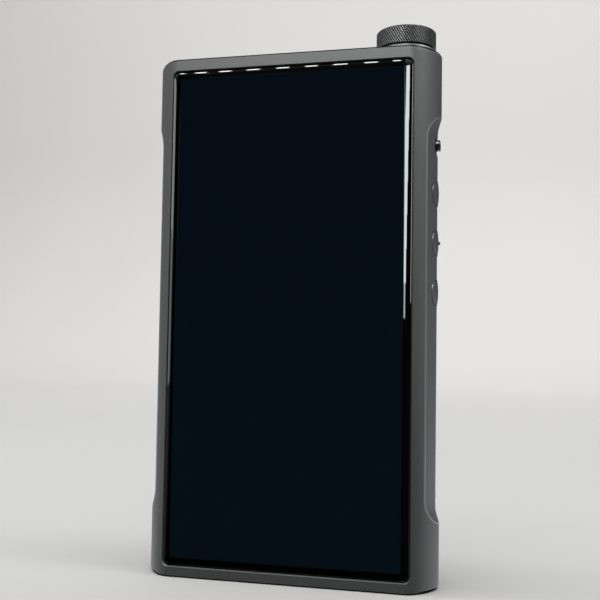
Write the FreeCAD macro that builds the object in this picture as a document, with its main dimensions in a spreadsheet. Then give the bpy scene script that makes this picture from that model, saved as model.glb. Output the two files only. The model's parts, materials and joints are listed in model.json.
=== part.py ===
import FreeCAD, Part

# Pocket digital audio player: unibody aluminium case, full-face cover glass, volume knob on the
# top, hold slider and three round playback keys in the right side channel, power key on the top,
# card tray in the left side channel, three headphone sockets and a charging socket in the base.
#
# Frame: origin at the centre of the bottom face, +Z up along the player, +X to the right as seen
# from the front, the screen faces -Y.  Millimetres.

import math
import os
import re
import Sketcher

V = FreeCAD.Vector
doc = FreeCAD.newDocument("audio_player")

# ---------------------------------------------------------------- driving dimensions
# _low and _high are Z, _front and _back are Y, _in and _out are X (or Z for the power key).
SIZES = dict(
    # case and the grip channel in each side
    case_half_w=40.0, case_height=142.0, case_half_d=9.2, face_half_w=32.3, side_fullness=0.45,
    corner_rad=1.4, rim_rad=0.5, channel_depth=0.98, channel_ramp=3.2, channel_rad=6.5,
    channel_mid=70.65, channel_half=47.15,
    # openings front and back, and the web between them
    bay_half_w=33.55, bay_low=3.0, bay_high=139.0, mouth_high=138.5, bay_rad=1.7,
    ledge_front=-8.1, ledge_back=7.9, display_half_w=32.2, display_low=4.6, display_high=136.9,
    web_front=-6.8, web_back=-5.4, cavity_half_w=32.4, cavity_low=5.5, cavity_high=136.6,
    # glass, screen and its ribbon
    glass_half_w=33.35, glass_low=3.2, glass_high=138.3, glass_rad=1.5, glass_front=-9.45,
    glass_back=-8.25, glass_curve_w=2.2, glass_curve_d=0.75, tape_width=1.0, panel_half_w=31.6,
    panel_low=5.4, panel_high=136.2, panel_back=-7.45, light_back=-6.95,
    ribbon_x=-15.0, ribbon_half_w=5.5, ribbon_t=0.15, ribbon_high=131.75,
    # rear cover
    cover_front=8.05, cover_half_w=33.4, cover_low=3.15, cover_high=138.85,
    # boards, the link between them, and screws
    board_front=-5.0, board_back=-4.0, board_half_w=31.6, main_low=68.5, main_high=136.2,
    audio_low=6.2, audio_high=66.5, usb_board_front=-2.6, usb_board_back=-1.6,
    link_x=4.0, link_half_w=7.0, link_low=63.2, link_high=71.0, link_t=0.7,
    boss_rad=1.8, boss_root=0.2, screw_rad=0.7, screw_hole_rad=0.85, screw_head_rad=1.3,
    screw_head_t=0.6, screw_len=2.4,
    # battery, its plate, and the posts that carry the plate past notches in the boards
    battery_half_w=28.4, battery_low=27.5, battery_high=108.0, battery_front=1.75,
    battery_back=7.45, plate_front=1.25, plate_back=1.55, plate_half_w=31.9, plate_low=24.3,
    plate_high=112.3, post_x=30.2, post_low=26.0, post_high=110.5, post_gap=0.4,
    # knob and encoder
    knob_x=30.3, knob_rad=8.05, knob_low=143.02, knob_high=148.0, knob_bevel=0.35,
    knob_hollow_rad=6.3, knob_hollow_high=145.0, collar_rad=7.85, collar_bore=5.9,
    collar_low=141.3, collar_high=142.93, collar_bevel=0.25, bush_rad=3.5, bush_high=143.6,
    shaft_rad=3.0, shaft_gap=0.03, shaft_flat=1.5, shaft_high=146.65, encoder_low=131.2,
    encoder_high=137.5, encoder_half_w=4.9, encoder_half_d=4.7, washer_rad=5.7, washer_t=0.4,
    nut_t=1.6,
    # side keys, their bracket and switches
    key_top=103.8, key_pitch=13.25, key_rad=3.6, key_hole_rad=3.68, key_flange_rad=4.3,
    key_flange_in=34.9, key_stem_in=33.1, key_stem_rad=1.2, key_proud=0.38, key_sag=0.34,
    key_shoulder=36.0, bracket_in=33.5, bracket_out=34.0, pip_rad=0.42, pip_in=38.6,
    switch_in=28.4, switch_out=31.9,
    # hold slider
    hold_slot_low=113.85, hold_slot_high=119.35, hold_slot_half=2.3, hold_plate_in=35.5,
    hold_plate_out=36.3, tab_low=115.4, tab_high=118.3, tab_half=1.75, tab_out=39.75,
    tab_crown=7.0, tab_inset=0.3, lever_low=116.7, lever_high=117.7, lever_gap=0.05, prong_w=1.25,
    # power key
    power_x=6.0, power_len=8.0, power_wid=3.0, power_out=142.35, plunger_y=-1.6,
    # sockets in the base
    jack_a_x=22.0, jack_a_bore=2.25, jack_b_x=10.5, jack_b_bore=1.8, jack_c_x=0.5, jack_c_bore=1.3,
    usb_x=-15.0, usb_half_w=4.47, usb_half_d=1.6, usb_wall=0.3, usb_depth=7.2,
    # card tray; slot_gap is the clearance round the tray face and the power key
    card_z=45.0, tray_half=6.4, tray_face_half=7.6, tray_face_d=1.3, slot_gap=0.06,
)
sheet = doc.addObject("Spreadsheet::Sheet", "dims")
for row, (alias, value) in enumerate(SIZES.items(), 1):
    sheet.set("A%d" % row, alias)
    sheet.set("B%d" % row, str(value))
    sheet.setAlias("B%d" % row, alias)
doc.recompute()

WORD = re.compile(r"[a-z][a-z_]*[a-z]")
TERM = re.compile(r"([+-]?)\s*([a-z][a-z_]*[a-z]|[0-9.]+)")


def E(text):
    """An expression in which each alias is looked up in the sheet."""
    return WORD.sub(lambda m: "dims." + m.group(0) if m.group(0) in SIZES else m.group(0),
                    str(text))


def size(text):
    """Present value of a sum or difference of aliases and numbers."""
    total = 0.0
    for sign, word in TERM.findall(str(text)):
        term = float(getattr(sheet, word)) if word in SIZES else float(word)
        total += -term if sign == "-" else term
    return total


def about(centre, half):
    """The two ends of a span centred on a place."""
    return "%s - (%s)" % (centre, half), "%s + (%s)" % (centre, half)


PARTS = {}
_count = [0]


def fresh(kind):
    _count[0] += 1
    return "%s_%03d" % (kind, _count[0])


def sub_part(label, obj):
    """Name a finished piece and list it for export."""
    obj.Label = label
    PARTS[label] = obj
    return obj


def place(obj, x=0, y=0, z=0):
    for axis, where in (("x", x), ("y", y), ("z", z)):
        obj.setExpression("Placement.Base." + axis, E(where))
    return obj


# ---------------------------------------------------------------- Part objects bound to the sheet
AXES = {"x": V(1, 0, 0), "y": V(0, 1, 0), "z": V(0, 0, 1)}
TURN = {"x": FreeCAD.Rotation(V(0, 1, 0), 90), "y": FreeCAD.Rotation(V(1, 0, 0), -90),
        "z": FreeCAD.Rotation()}


def box(x0, x1, y0, y1, z0, z1):
    o = doc.addObject("Part::Box", fresh("box"))
    for prop, low, high in (("Length", x0, x1), ("Width", y0, y1), ("Height", z0, z1)):
        o.setExpression(prop, E("(%s) - (%s)" % (high, low)))
    return place(o, x0, y0, z0)


def cyl(axis, radius, x, y, z, length):
    """Cylinder from the point (x, y, z) along +axis."""
    o = doc.addObject("Part::Cylinder", fresh("cyl"))
    o.setExpression("Radius", E(radius))
    o.setExpression("Height", E(length))
    o.Placement = FreeCAD.Placement(V(0, 0, 0), TURN[axis])
    return place(o, x, y, z)


def fuse(*shapes):
    if len(shapes) == 1:
        return shapes[0]
    o = doc.addObject("Part::MultiFuse", fresh("fuse"))
    o.Shapes = list(shapes)
    return o


def cut(base, *tools):
    o = doc.addObject("Part::Cut", fresh("cut"))
    o.Base = base
    o.Tool = fuse(*tools)
    return o


def common(*shapes):
    o = doc.addObject("Part::MultiCommon", fresh("common"))
    o.Shapes = list(shapes)
    return o


def group(*shapes):
    """Separate solids kept apart in one node."""
    o = doc.addObject("Part::Compound", fresh("group"))
    o.Links = list(shapes)
    return o


def feature(shape, name):
    o = doc.addObject("Part::Feature", fresh(name))
    o.Shape = shape
    o.Placement = FreeCAD.Placement()
    return o


def dress(kind, base, amount, pick):
    """Part::Fillet or Part::Chamfer on the edges that pick() accepts."""
    doc.recompute()
    o = doc.addObject("Part::" + kind, fresh(kind.lower()))
    o.Base = base
    o.Edges = [(i, amount, amount) for i, e in enumerate(base.Shape.Edges, 1) if pick(e)]
    return o


def rounded(base, radius, pick):
    return dress("Fillet", base, radius, pick)


def parallel(*axes):
    """Picker of straight edges that run along one of the axes."""
    def pick(edge):
        curve = edge.Curve
        return isinstance(curve, Part.Line) and any(
            abs(abs(curve.Direction.dot(AXES[a])) - 1) < 1e-6 for a in axes)
    return pick


def slab(half_w, y0, y1, z0, z1, radius):
    """Upright plate with rounded corners, centred on X."""
    return rounded(box(*about(0, half_w), y0, y1, z0, z1), radius, parallel("y"))


# ---------------------------------------------------------------- PartDesign helpers
def new_sketch(body, role):
    """A sketch on one of the body's own planes."""
    sketch = body.newObject("Sketcher::SketchObject", fresh("sketch"))
    plane = [f for f in body.Origin.OriginFeatures if f.Role == role][0]
    sketch.AttachmentSupport = [(plane, "")]
    sketch.MapMode = "FlatFace"
    return sketch


def pin(sketch, geo, point, x, y):
    """Dimension a point of the sketch from the origin."""
    for text, kind, axis in ((x, "DistanceX", -2), (y, "DistanceY", -1)):
        value = size(text)
        if abs(value) < 1e-9:
            sketch.addConstraint(Sketcher.Constraint("PointOnObject", geo, point, axis))
            continue
        args = (-1, 1, geo, point, value) if value > 0 else (geo, point, -1, 1, -value)
        k = sketch.addConstraint(Sketcher.Constraint(kind, *args))
        sketch.setExpression("Constraints[%d]" % k, E(text if value > 0 else "-(%s)" % text))


def add_circle(sketch, x, y, radius):
    circle = Part.Circle(V(size(x), size(y), 0), V(0, 0, 1), size(radius))
    geo = sketch.addGeometry(circle, False)
    pin(sketch, geo, 3, x, y)
    k = sketch.addConstraint(Sketcher.Constraint("Radius", geo, size(radius)))
    sketch.setExpression("Constraints[%d]" % k, E(radius))


def outline(body, role, points):
    """Sketch of a closed polygon with every corner dimensioned from the origin."""
    sketch = new_sketch(body, role)
    corners = [V(size(x), size(y), 0) for x, y in points]
    n = len(corners)
    for i in range(n):
        sketch.addGeometry(Part.LineSegment(corners[i], corners[(i + 1) % n]), False)
    for i in range(n):
        sketch.addConstraint(Sketcher.Constraint("Coincident", i, 2, (i + 1) % n, 1))
    for i, (x, y) in enumerate(points):
        pin(sketch, i, 1, x, y)
    return sketch


def padded(body, sketch, length, backwards=False):
    pad = body.newObject("PartDesign::Pad", fresh("pad"))
    pad.Profile = sketch
    pad.Reversed = backwards
    pad.setExpression("Length", E(length))
    return body


def pad_y(label, points, front, back):
    """Plate drawn in the XZ plane, from front to back along +Y."""
    body = doc.addObject("PartDesign::Body", label)
    sketch = outline(body, "XZ_Plane", points)
    padded(body, sketch, "%s - %s" % (back, front), backwards=True)
    return place(body, y=front)


def rect(x0, x1, z0, z1):
    return (x0, z0), (x1, z0), (x1, z1), (x0, z1)


def drill(body, spots):
    """Screw holes through a plate made by pad_y."""
    sketch = new_sketch(body, "XZ_Plane")
    for x, z in spots:
        add_circle(sketch, x, z, "screw_hole_rad")
    doc.recompute()
    before = body.Shape.Volume
    pocket = body.newObject("PartDesign::Pocket", fresh("pocket"))
    pocket.Profile = sketch
    pocket.Type = "ThroughAll"
    pocket.Midplane = True
    doc.recompute()
    if not body.Shape.Volume < before - 1e-6:
        raise RuntimeError("holes in %s cut nothing" % body.Label)
    return body


def turned(label, points, x=0, z=0, axis="V_Axis"):
    """Turned about Z from (radius, height) points, or about X (H_Axis) from (x, radius) points."""
    body = doc.addObject("PartDesign::Body", label)
    sketch = outline(body, "XZ_Plane", points)
    turn = body.newObject("PartDesign::Revolution", fresh("revolution"))
    turn.Profile = sketch
    turn.ReferenceAxis = (sketch, [axis])
    turn.Angle = 360.0
    return place(body, x=x, z=z)


# ---------------------------------------------------------------- outer form of the case
HALF_W, HALF_D, HEIGHT = size("case_half_w"), size("case_half_d"), size("case_height")
FACE, FULLNESS = size("face_half_w"), size("side_fullness")
CORNER, RIM = size("corner_rad"), size("rim_rad")


def conic(start, control, end):
    curve = Part.BSplineCurve()
    curve.buildFromPolesMultsKnots([start, control, end], [3, 3], [0, 1], False, 2,
                                   [1, FULLNESS, 1])
    return curve.toShape()


def section(a, b, z):
    """Horizontal section of half width a and half depth b: flat front and back, bowed sides."""
    return Part.Wire([
        Part.makeLine(V(-FACE, -b, z), V(FACE, -b, z)),
        conic(V(FACE, -b, z), V(a, -b, z), V(a, 0, z)),
        conic(V(a, 0, z), V(a, b, z), V(FACE, b, z)),
        Part.makeLine(V(FACE, b, z), V(-FACE, b, z)),
        conic(V(-FACE, b, z), V(-a, b, z), V(-a, 0, z)),
        conic(V(-a, 0, z), V(-a, -b, z), V(-FACE, -b, z)),
    ])


def eased(full, radius, depth):
    """A half size at a depth inside an end face whose edge is rounded."""
    if depth >= radius:
        return full
    return full - radius + math.sqrt(max(0.0, radius * radius - (radius - depth) ** 2))


def end_section(depth, z):
    return section(eased(HALF_W, CORNER, depth), eased(HALF_D, RIM, depth), z)


# Each end is two lofts: the rim, where width and depth both grow, then the rest of the corner.
END_DEPTHS = {
    "rim": [RIM * (1 - math.cos(math.radians(t))) for t in (0, 12, 24, 36, 48, 60, 72, 84, 90)],
    "corner": [RIM + (CORNER - RIM) * k / 4.0 for k in range(5)],
}
ends = {}
for end in ("top", "low"):
    for name, depths in END_DEPTHS.items():
        wires = [end_section(d, HEIGHT - d if end == "top" else d) for d in depths]
        ends[end, name] = feature(Part.makeLoft(wires, True, False), end + "_" + name)
middle = feature(Part.Face(section(HALF_W, HALF_D, CORNER)).extrude(V(0, 0, HEIGHT - 2 * CORNER)),
                 "middle")
form = fuse(middle, ends["top", "corner"], ends["top", "rim"],
            ends["low", "corner"], ends["low", "rim"])

# ---------------------------------------------------------------- grip channels
# A shallow dished trough with round ends, sunk into each bowed side.
CHANNEL_DEPTH, CHANNEL_RAMP = size("channel_depth"), size("channel_ramp")
CHANNEL_RAD, CHANNEL_MID, CHANNEL_HALF = [size("channel_" + s) for s in ("rad", "mid", "half")]


def bow(y):
    """X of the bowed side at depth y, by bisection along its conic."""
    low, high = 0.0, 1.0
    for _ in range(60):
        t = (low + high) / 2
        start, control, end = (1 - t) ** 2, 2 * FULLNESS * t * (1 - t), t * t
        total = start + control + end
        if (-HALF_D * start - HALF_D * control) / total < -abs(y):
            low = t
        else:
            high = t
    return (FACE * start + HALF_W * control + HALF_W * end) / total


def channel_floor(y, z):
    """X of the floor: an even ramp from the border, an eased step, then flat."""
    past_end = max(0.0, abs(z - CHANNEL_MID) - CHANNEL_HALF)
    ramp = (CHANNEL_RAD - math.sqrt(y * y + past_end * past_end)) / CHANNEL_RAMP
    if ramp < 0.7:
        share = ramp
    elif ramp > 1.3:
        share = 1.0
    else:
        share = 1.0 - (1.3 - ramp) ** 2 / 1.2
    return bow(y) - CHANNEL_DEPTH * share


def outside(rows, reach):
    """Solid from a surface through rows of points out along +X."""
    surface = Part.BSplineSurface()
    surface.interpolate(rows)
    return surface.toShape().extrude(V(reach, 0, 0))


def trough():
    """Solid lying outside the channel floor, on the +X side."""
    edge = CHANNEL_RAD + 1.5
    low, high = CHANNEL_MID - CHANNEL_HALF, CHANNEL_MID + CHANNEL_HALF
    ys = [-edge + 2 * edge * i / 32.0 for i in range(33)]
    zs = [low - edge + edge * i / 16.0 for i in range(16)]
    zs += [low + 2 * CHANNEL_HALF * i / 12.0 for i in range(13)]
    zs += [high + edge * i / 16.0 for i in range(1, 17)]
    return outside([[V(channel_floor(y, z), y, z) for z in zs] for y in ys], 8)


channel_right = feature(trough(), "channel_right")
channel_left = feature(trough().mirror(V(0, 0, 0), V(1, 0, 0)), "channel_left")
blank = cut(cut(form, channel_right), channel_left)

# ---------------------------------------------------------------- shared places
# Z of the centre of each side key, and of the bracket screws between them
KEYS = {"previous": "key_top", "play": "key_top - key_pitch",
        "next": "key_top - key_pitch - key_pitch"}
KEY_SCREWS = ["key_top - 0.5 * key_pitch", "key_top - 1.5 * key_pitch"]

# screw places as (x, z)
MAIN_SCREWS = [(-28.6, 72.0), (27.0, 72.0), (-28.6, 128.0), (20.0, 127.0), (12.5, 104.0)]
AUDIO_SCREWS = [(-28.6, 60.0), (28.6, 60.0), (16.5, 28.0), (-12.0, 34.0)]
USB_SCREWS = [("usb_x - 6.5", 17.0), ("usb_x + 6.5", 17.0)]
PLATE_POSTS = [("-post_x", "post_low"), ("post_x", "post_low"),
               ("-post_x", "post_high"), ("post_x", "post_high")]
# places, front and back of the plate that the screws hold
SCREW_SETS = [(MAIN_SCREWS + AUDIO_SCREWS, "board_front", "board_back"),
              (USB_SCREWS, "usb_board_front", "usb_board_back"),
              (PLATE_POSTS, "plate_front", "plate_back")]

# label, alias stem, half size of block, block top, bore end, nose radius, ring radius, contact Zs
JACKS = [
    ("balanced_jack_large", "jack_a", 4.0, 21.5, 19.5, 3.3, 3.95, (8.0, 11.0, 14.0, 17.0)),
    ("headphone_jack", "jack_b", 3.2, 19.5, 17.5, 2.7, 3.35, (8.0, 12.0, 15.5)),
    ("balanced_jack_small", "jack_c", 2.8, 17.5, 15.0, 2.2, 2.85, (7.5, 10.0, 12.5)),
]
NOSE_GAP, RING_GAP = 0.1, 0.05


# ---------------------------------------------------------------- housing
def opening(x, z0, z1, y, r):
    """Closed outline with rounded corners in a plane of constant y."""
    k = r * (1 - math.sqrt(0.5))

    def line(xa, za, xb, zb):
        return Part.makeLine(V(xa, y, za), V(xb, y, zb))

    def arc(xa, za, xb, zb, xc, zc):
        return Part.Arc(V(xa, y, za), V(xb, y, zb), V(xc, y, zc)).toShape()

    return Part.Wire([
        line(-x + r, z0, x - r, z0), arc(x - r, z0, x - k, z0 + k, x, z0 + r),
        line(x, z0 + r, x, z1 - r), arc(x, z1 - r, x - k, z1 - k, x - r, z1),
        line(x - r, z1, -x + r, z1), arc(-x + r, z1, -x + k, z1 - k, -x, z1 - r),
        line(-x, z1 - r, -x, z0 + r), arc(-x, z0 + r, -x + k, z0 + k, -x + r, z0),
    ])


def mouth_chamfer():
    """Flare round the mouth of the glass opening."""
    x, z0, z1, r = [size(a) for a in ("bay_half_w", "bay_low", "mouth_high", "bay_rad")]
    inner = opening(x, z0, z1, -HALF_D + 0.50, r)
    outer = opening(x + 0.60, z0 - 0.30, z1 + 0.30, -HALF_D - 0.10, r + 0.45)
    return feature(Part.makeLoft([inner, outer], True, True), "mouth_chamfer")


def screen_and_cavity_tools():
    bay_rad = size("bay_rad")
    return [
        mouth_chamfer(),
        slab("bay_half_w", "-case_half_d - 1", "ledge_front", "bay_low", "mouth_high", bay_rad),
        slab("display_half_w", "ledge_front - 0.5", "web_front", "display_low", "display_high",
             radius=1.2),
        slab("bay_half_w", "ledge_back", "case_half_d + 1", "bay_low", "bay_high", bay_rad),
        slab("cavity_half_w", "web_back", "ledge_back + 0.5", "cavity_low", "cavity_high",
             radius=2.0),
        # screen ribbon slot in the web
        box(*about("ribbon_x", "ribbon_half_w + 2"), "web_front - 0.5", "web_back + 0.5",
            130.9, 132.6),
    ]


def control_tools():
    """Room for the encoder, the hold slider and the power key."""
    return [
        # encoder pocket, bushing hole and seat of the collar
        box("knob_x - 5.3", "knob_x + 5.0", -4.9, 4.9, 129.0, "encoder_high + 0.1"),
        cyl("z", "bush_rad + 0.05", "knob_x", 0, 135, 10),
        cyl("z", "collar_rad + 0.03", "knob_x", 0, "collar_low", 3),
        # hold slot and the recess behind it
        rounded(box("cavity_half_w - 0.5", "case_half_w + 1", *about(0, "hold_slot_half"),
                    "hold_slot_low", "hold_slot_high"),
                size("hold_slot_half - 0.01"), parallel("x")),
        box("cavity_half_w - 0.5", 36.4, -3.4, 3.4, "hold_slot_low - 1.7", "hold_slot_high + 1.7"),
        # power key slot and the recess below it
        rounded(box(*about("power_x", "power_len / 2 + slot_gap"),
                    *about(0, "power_wid / 2 + slot_gap"), 136, 143),
                size("power_wid") / 2, parallel("z")),
        box(*about("power_x", 5), -2.4, 2.4, 136, 139.6),
    ]


def socket_tools():
    """Card tray face recess and throat, charging socket and headphone sockets."""
    tools = [
        rounded(box("-case_half_w - 1", -36.5, *about(0, "tray_face_d + slot_gap"),
                    *about("card_z", "tray_face_half + slot_gap")),
                size("tray_face_d"), parallel("x")),
        box(-37, "-cavity_half_w + 0.5", -0.6, 0.6, *about("card_z", "tray_half + 0.1")),
        rounded(box(*about("usb_x", 4.6), -1.72, 1.72, -1, 6), 1.7, parallel("z")),
    ]
    for _, jack, _, _, _, nose, ring, _ in JACKS:
        tools.append(cyl("z", nose + NOSE_GAP, jack + "_x", 0, -1, 8))
        tools.append(cyl("z", ring + RING_GAP, jack + "_x", 0, -1, 2.0))
    return tools


def key_tools():
    """Key slot inside the right wall, leaving two screw bosses, and the round key holes."""
    slot = box("cavity_half_w - 0.5", "key_shoulder", -4.6, 4.6,
               *about(KEYS["play"], "key_pitch + 5.2"))
    bosses = [cyl("x", 1.6, "bracket_out", 0, z, 4) for z in KEY_SCREWS]
    tools = [cut(slot, *bosses)]
    tools += [cyl("x", "key_hole_rad", "key_shoulder - 1", 0, z, 8) for z in KEYS.values()]
    tools += [cyl("x", "screw_rad", "bracket_out - 0.5", 0, z, 3.0) for z in KEY_SCREWS]
    return tools


def round_mouth(edge):
    """Edges where a key hole meets the channel floor."""
    b = edge.BoundBox
    reach = size("key_hole_rad")
    return (b.XMin > 37.3 and b.XMax < 39.6
            and abs(b.YMin) < reach + 0.1 and b.YMax < reach + 0.1
            and any(abs(b.Center.z - size(z)) < reach + 0.3 for z in KEYS.values()))


def slot_mouth(edge):
    """Edges where the hold slot meets the channel floor."""
    b = edge.BoundBox
    return (b.XMin > 37.3 and b.XMax < 39.6 and abs(b.YMin) < 2.5 and b.YMax < 2.5
            and b.ZMin > size("hold_slot_low") - 0.2 and b.ZMax < size("hold_slot_high") + 0.2)


shell = cut(blank, *screen_and_cavity_tools(), *control_tools(), *socket_tools(), *key_tools())
posts = [cyl("y", "boss_rad", x, "web_back - boss_root", z, "%s - web_back + boss_root" % front)
         for spots, front, back in SCREW_SETS for x, z in spots]
taps = [cyl("y", "screw_rad", x, "%s - screw_len" % back, z, 3)
        for spots, front, back in SCREW_SETS for x, z in spots]
case_body = cut(fuse(shell, *posts), *taps)
case_body = dress("Chamfer", case_body, 0.2, round_mouth)
sub_part("housing", dress("Chamfer", case_body, 0.15, slot_mouth))

# ---------------------------------------------------------------- cover glass
# The front edge curves back all round.
GLASS_RAD, CURVE_W, CURVE_D = size("glass_rad"), size("glass_curve_w"), size("glass_curve_d")
CURVE_BACK = size("glass_front") + CURVE_D


def glass_outline(inset, y, radius):
    return opening(size("glass_half_w") - inset, size("glass_low") + inset,
                   size("glass_high") - inset, y, radius)


glass_wires = []
for degrees in range(0, 91, 10):
    angle = math.radians(degrees)
    inset = CURVE_W * (1 - math.cos(angle))
    glass_wires.append(glass_outline(inset, CURVE_BACK - CURVE_D * math.sin(angle),
                                     max(0.35, GLASS_RAD - inset * 0.5)))
crown = feature(Part.makeLoft(glass_wires, True, False), "glass_crown")
glass_base = feature(Part.Face(glass_outline(0.0, CURVE_BACK, GLASS_RAD))
                     .extrude(V(0, size("glass_back") - CURVE_BACK, 0)), "glass_base")
sub_part("front_glass", fuse(crown, glass_base))

# ---------------------------------------------------------------- screen
tape_outer = slab("glass_half_w - 0.05", "glass_back", "ledge_front", "glass_low + 0.05",
                  "glass_high - 0.05", radius=1.4)
tape_inner = slab("glass_half_w - tape_width", "glass_back - 1", "ledge_front + 1",
                  "glass_low + tape_width + 0.4", "glass_high - tape_width - 0.4", radius=1.0)
sub_part("display_adhesive", cut(tape_outer, tape_inner))

sub_part("lcd_panel", pad_y("lcd_panel", rect("-panel_half_w", "panel_half_w", "panel_low",
                                              "panel_high"), "glass_back", "panel_back"))
light = box(*about(0, "panel_half_w"), "panel_back", "light_back", "panel_low", "panel_high")
ribbon_notch = box(*about("ribbon_x", "ribbon_half_w + 1"), "light_back - 0.25",
                   "light_back + 0.1", 129.0, 133.5)
sub_part("backlight_frame", cut(light, ribbon_notch))

# ribbon: a run behind the backlight, one back through the web, one down behind the main board
ribbon_span = about("ribbon_x", "ribbon_half_w")
sub_part("display_ribbon", fuse(
    box(*ribbon_span, "light_back - 0.2", "light_back - 0.05", 129.6, 132.0),
    box(*ribbon_span, "light_back - 0.2", "board_back + 0.3 + ribbon_t",
        "ribbon_high - ribbon_t", "ribbon_high"),
    box(*ribbon_span, "board_back + 0.3", "board_back + 0.3 + ribbon_t", 121.0, "ribbon_high")))

# ---------------------------------------------------------------- rear cover
cover = slab("cover_half_w", "cover_front", "case_half_d", "cover_low", "cover_high", radius=1.5)
sub_part("rear_cover", rounded(cover, 0.45, lambda e: e.BoundBox.YMin > HALF_D - 1e-3))
sub_part("rear_adhesive", cut(
    slab("cover_half_w - 0.05", "ledge_back", "cover_front", "cover_low + 0.05",
         "cover_high - 0.05", radius=1.4),
    slab("cavity_half_w + 0.1", "ledge_back - 1", "cover_front + 1", "cavity_low - 0.1",
         "cavity_high + 0.1", radius=1.0)))


# ---------------------------------------------------------------- boards
def post_notches(z):
    """Notches in both long edges of a board, round the battery plate posts at height z."""
    notches = [cyl("y", "boss_rad + post_gap", x, "board_front - 1", z, 3)
               for x in ("-post_x", "post_x")]
    notches += [box(x0, x1, "board_front - 1", "board_back + 1",
                    *about(z, "boss_rad + post_gap"))
                for x0, x1 in ((-32, "-post_x"), ("post_x", 32))]
    return notches


# Main board in the upper half, with notches for the encoder and the screen ribbon
main_plate = drill(pad_y("main_board_plate", (
    ("-board_half_w", "main_low"), ("board_half_w", "main_low"), ("board_half_w", 121.5),
    (24.6, 121.5), (24.6, "main_high"), (-6.8, "main_high"), (-6.8, 130.6), (-23.2, 130.6),
    (-23.2, "main_high"), ("-board_half_w", "main_high")), "board_front", "board_back"),
    MAIN_SCREWS)
sub_part("main_board", cut(main_plate, *post_notches("post_high")))

# Audio board in the lower half, stepped round the charging socket
audio_plate = drill(pad_y("audio_board_plate", (
    (-5.0, "audio_low"), ("board_half_w", "audio_low"), ("board_half_w", "audio_high"),
    ("-board_half_w", "audio_high"), ("-board_half_w", 24.0), (-5.0, 24.0)),
    "board_front", "board_back"), AUDIO_SCREWS)
sub_part("audio_board", cut(audio_plate, *post_notches("post_low")))

sub_part("usb_board", drill(pad_y("usb_board", rect("usb_x - 8.6", "usb_x + 8.6", 6.2, 21.0),
                                  "usb_board_front", "usb_board_back"), USB_SCREWS))


def chip(x, z, w, h, t):
    """Block centred on (x, z), standing t off the back of the board."""
    return box(*about(x, w / 2), "board_back", "board_back + %s" % t, *about(z, h / 2))


def can(x, z, w, h, t, wall=0.2):
    """Pressed shield over a group of chips, open towards the board."""
    hollow = box(*about(x, w / 2 - wall), "board_back - 1", "board_back + %s" % (t - wall),
                 *about(z, h / 2 - wall))
    return cut(chip(x, z, w, h, t), hollow)


# chips as (x, z, width, height, thickness)
MAIN_CHIPS = [
    (-12, 92, 14, 14, 1.1), (-12, 108.5, 11, 11, 1.0), (4, 90, 7, 7, 0.9), (18, 84, 9, 9, 1.0),
    (18, 98, 6, 6, 0.9), (-25.5, 121.5, 6, 6, 1.0), (16, 110, 3, 5, 1.8), (-24, 78, 5, 5, 0.9),
    (-1, 76.5, 10, 3, 0.8), (22, 76, 4, 3, 1.2),
]
AUDIO_CHIPS = [
    (-7.5, 52, 9, 9, 1.0), (-7.5, 41, 7, 7, 1.0), (5, 52, 6, 6, 0.9), (16, 53, 5, 6, 1.4),
    (24, 53, 5, 6, 1.4), (17, 62, 5, 4, 1.2), (23.5, 62, 5, 4, 1.2),
]
CAPACITORS = [(15.5, 40), (21, 40), (26.5, 40), (15.5, 34.4), (26.5, 34.4)]  # (x, z)

sub_part("processor_shield", can(-9.5, 99.5, 36, 32, 2.6))
sub_part("main_board_parts", group(*[chip(*c) for c in MAIN_CHIPS]))
sub_part("converter_shield", can(-1.5, 48, 26, 22, 2.4))
sub_part("audio_board_parts", group(*[chip(*c) for c in AUDIO_CHIPS],
                                    *[cyl("y", 2.3, x, "board_back", z, 4.6)
                                      for x, z in CAPACITORS]))
sub_part("board_link_sockets", group(*[
    box(*about("link_x", "link_half_w"), "board_back", "board_back + link_t", *about(z, 1.2))
    for z in ("link_low", "link_high")]))
sub_part("board_link_ribbon", box(*about("link_x", "link_half_w"), "board_back + link_t",
                                  "board_back + link_t + ribbon_t",
                                  "link_low - 1.4", "link_high + 1.4"))


def screw(x, z, y):
    """Cross-slotted pan head screw driven along -Y from the plane y."""
    thin, wide = 0.15, 0.8
    slots = [box(*about(x, a), "%s + 0.3" % y, "%s + 1" % y, *about(z, b))
             for a, b in ((thin, wide), (wide, thin))]
    head = cut(cyl("y", "screw_head_rad", x, y, z, "screw_head_t"), *slots)
    return fuse(head, cyl("y", "screw_rad", x, "%s - screw_len" % y, z, "screw_len"))


sub_part("chassis_screws", group(*[screw(x, z, back)
                                   for spots, front, back in SCREW_SETS for x, z in spots]))

# ---------------------------------------------------------------- battery
plate_holes = [cyl("y", "screw_hole_rad", x, "plate_front - 1", z, 3) for x, z in PLATE_POSTS]
sub_part("battery_plate", cut(box(*about(0, "plate_half_w"), "plate_front", "plate_back",
                                  "plate_low", "plate_high"), *plate_holes))
sub_part("battery_adhesive", box(-24, 24, "plate_back", "battery_front", 32, 104))
pack = box(*about(0, "battery_half_w"), "battery_front", "battery_back",
           "battery_low", "battery_high")
sub_part("battery_pack", rounded(pack, 1.2, parallel("z", "y")))
sub_part("battery_socket", box(5.5, 12.5, "board_back", "board_back + 1.5", 116.2, 120.4))

WIRE_RAD = 0.45


def wire_run(points):
    """Round wire along a smooth curve through the points."""
    path = Part.BSplineCurve()
    path.interpolate([V(*p) for p in points])
    spine = Part.Wire([path.toShape()])
    start = path.tangent(path.FirstParameter)[0]
    ring = Part.Wire([Part.makeCircle(WIRE_RAD, V(*points[0]), start)])
    return feature(spine.makePipeShell([ring], True, False), "wire")


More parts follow.
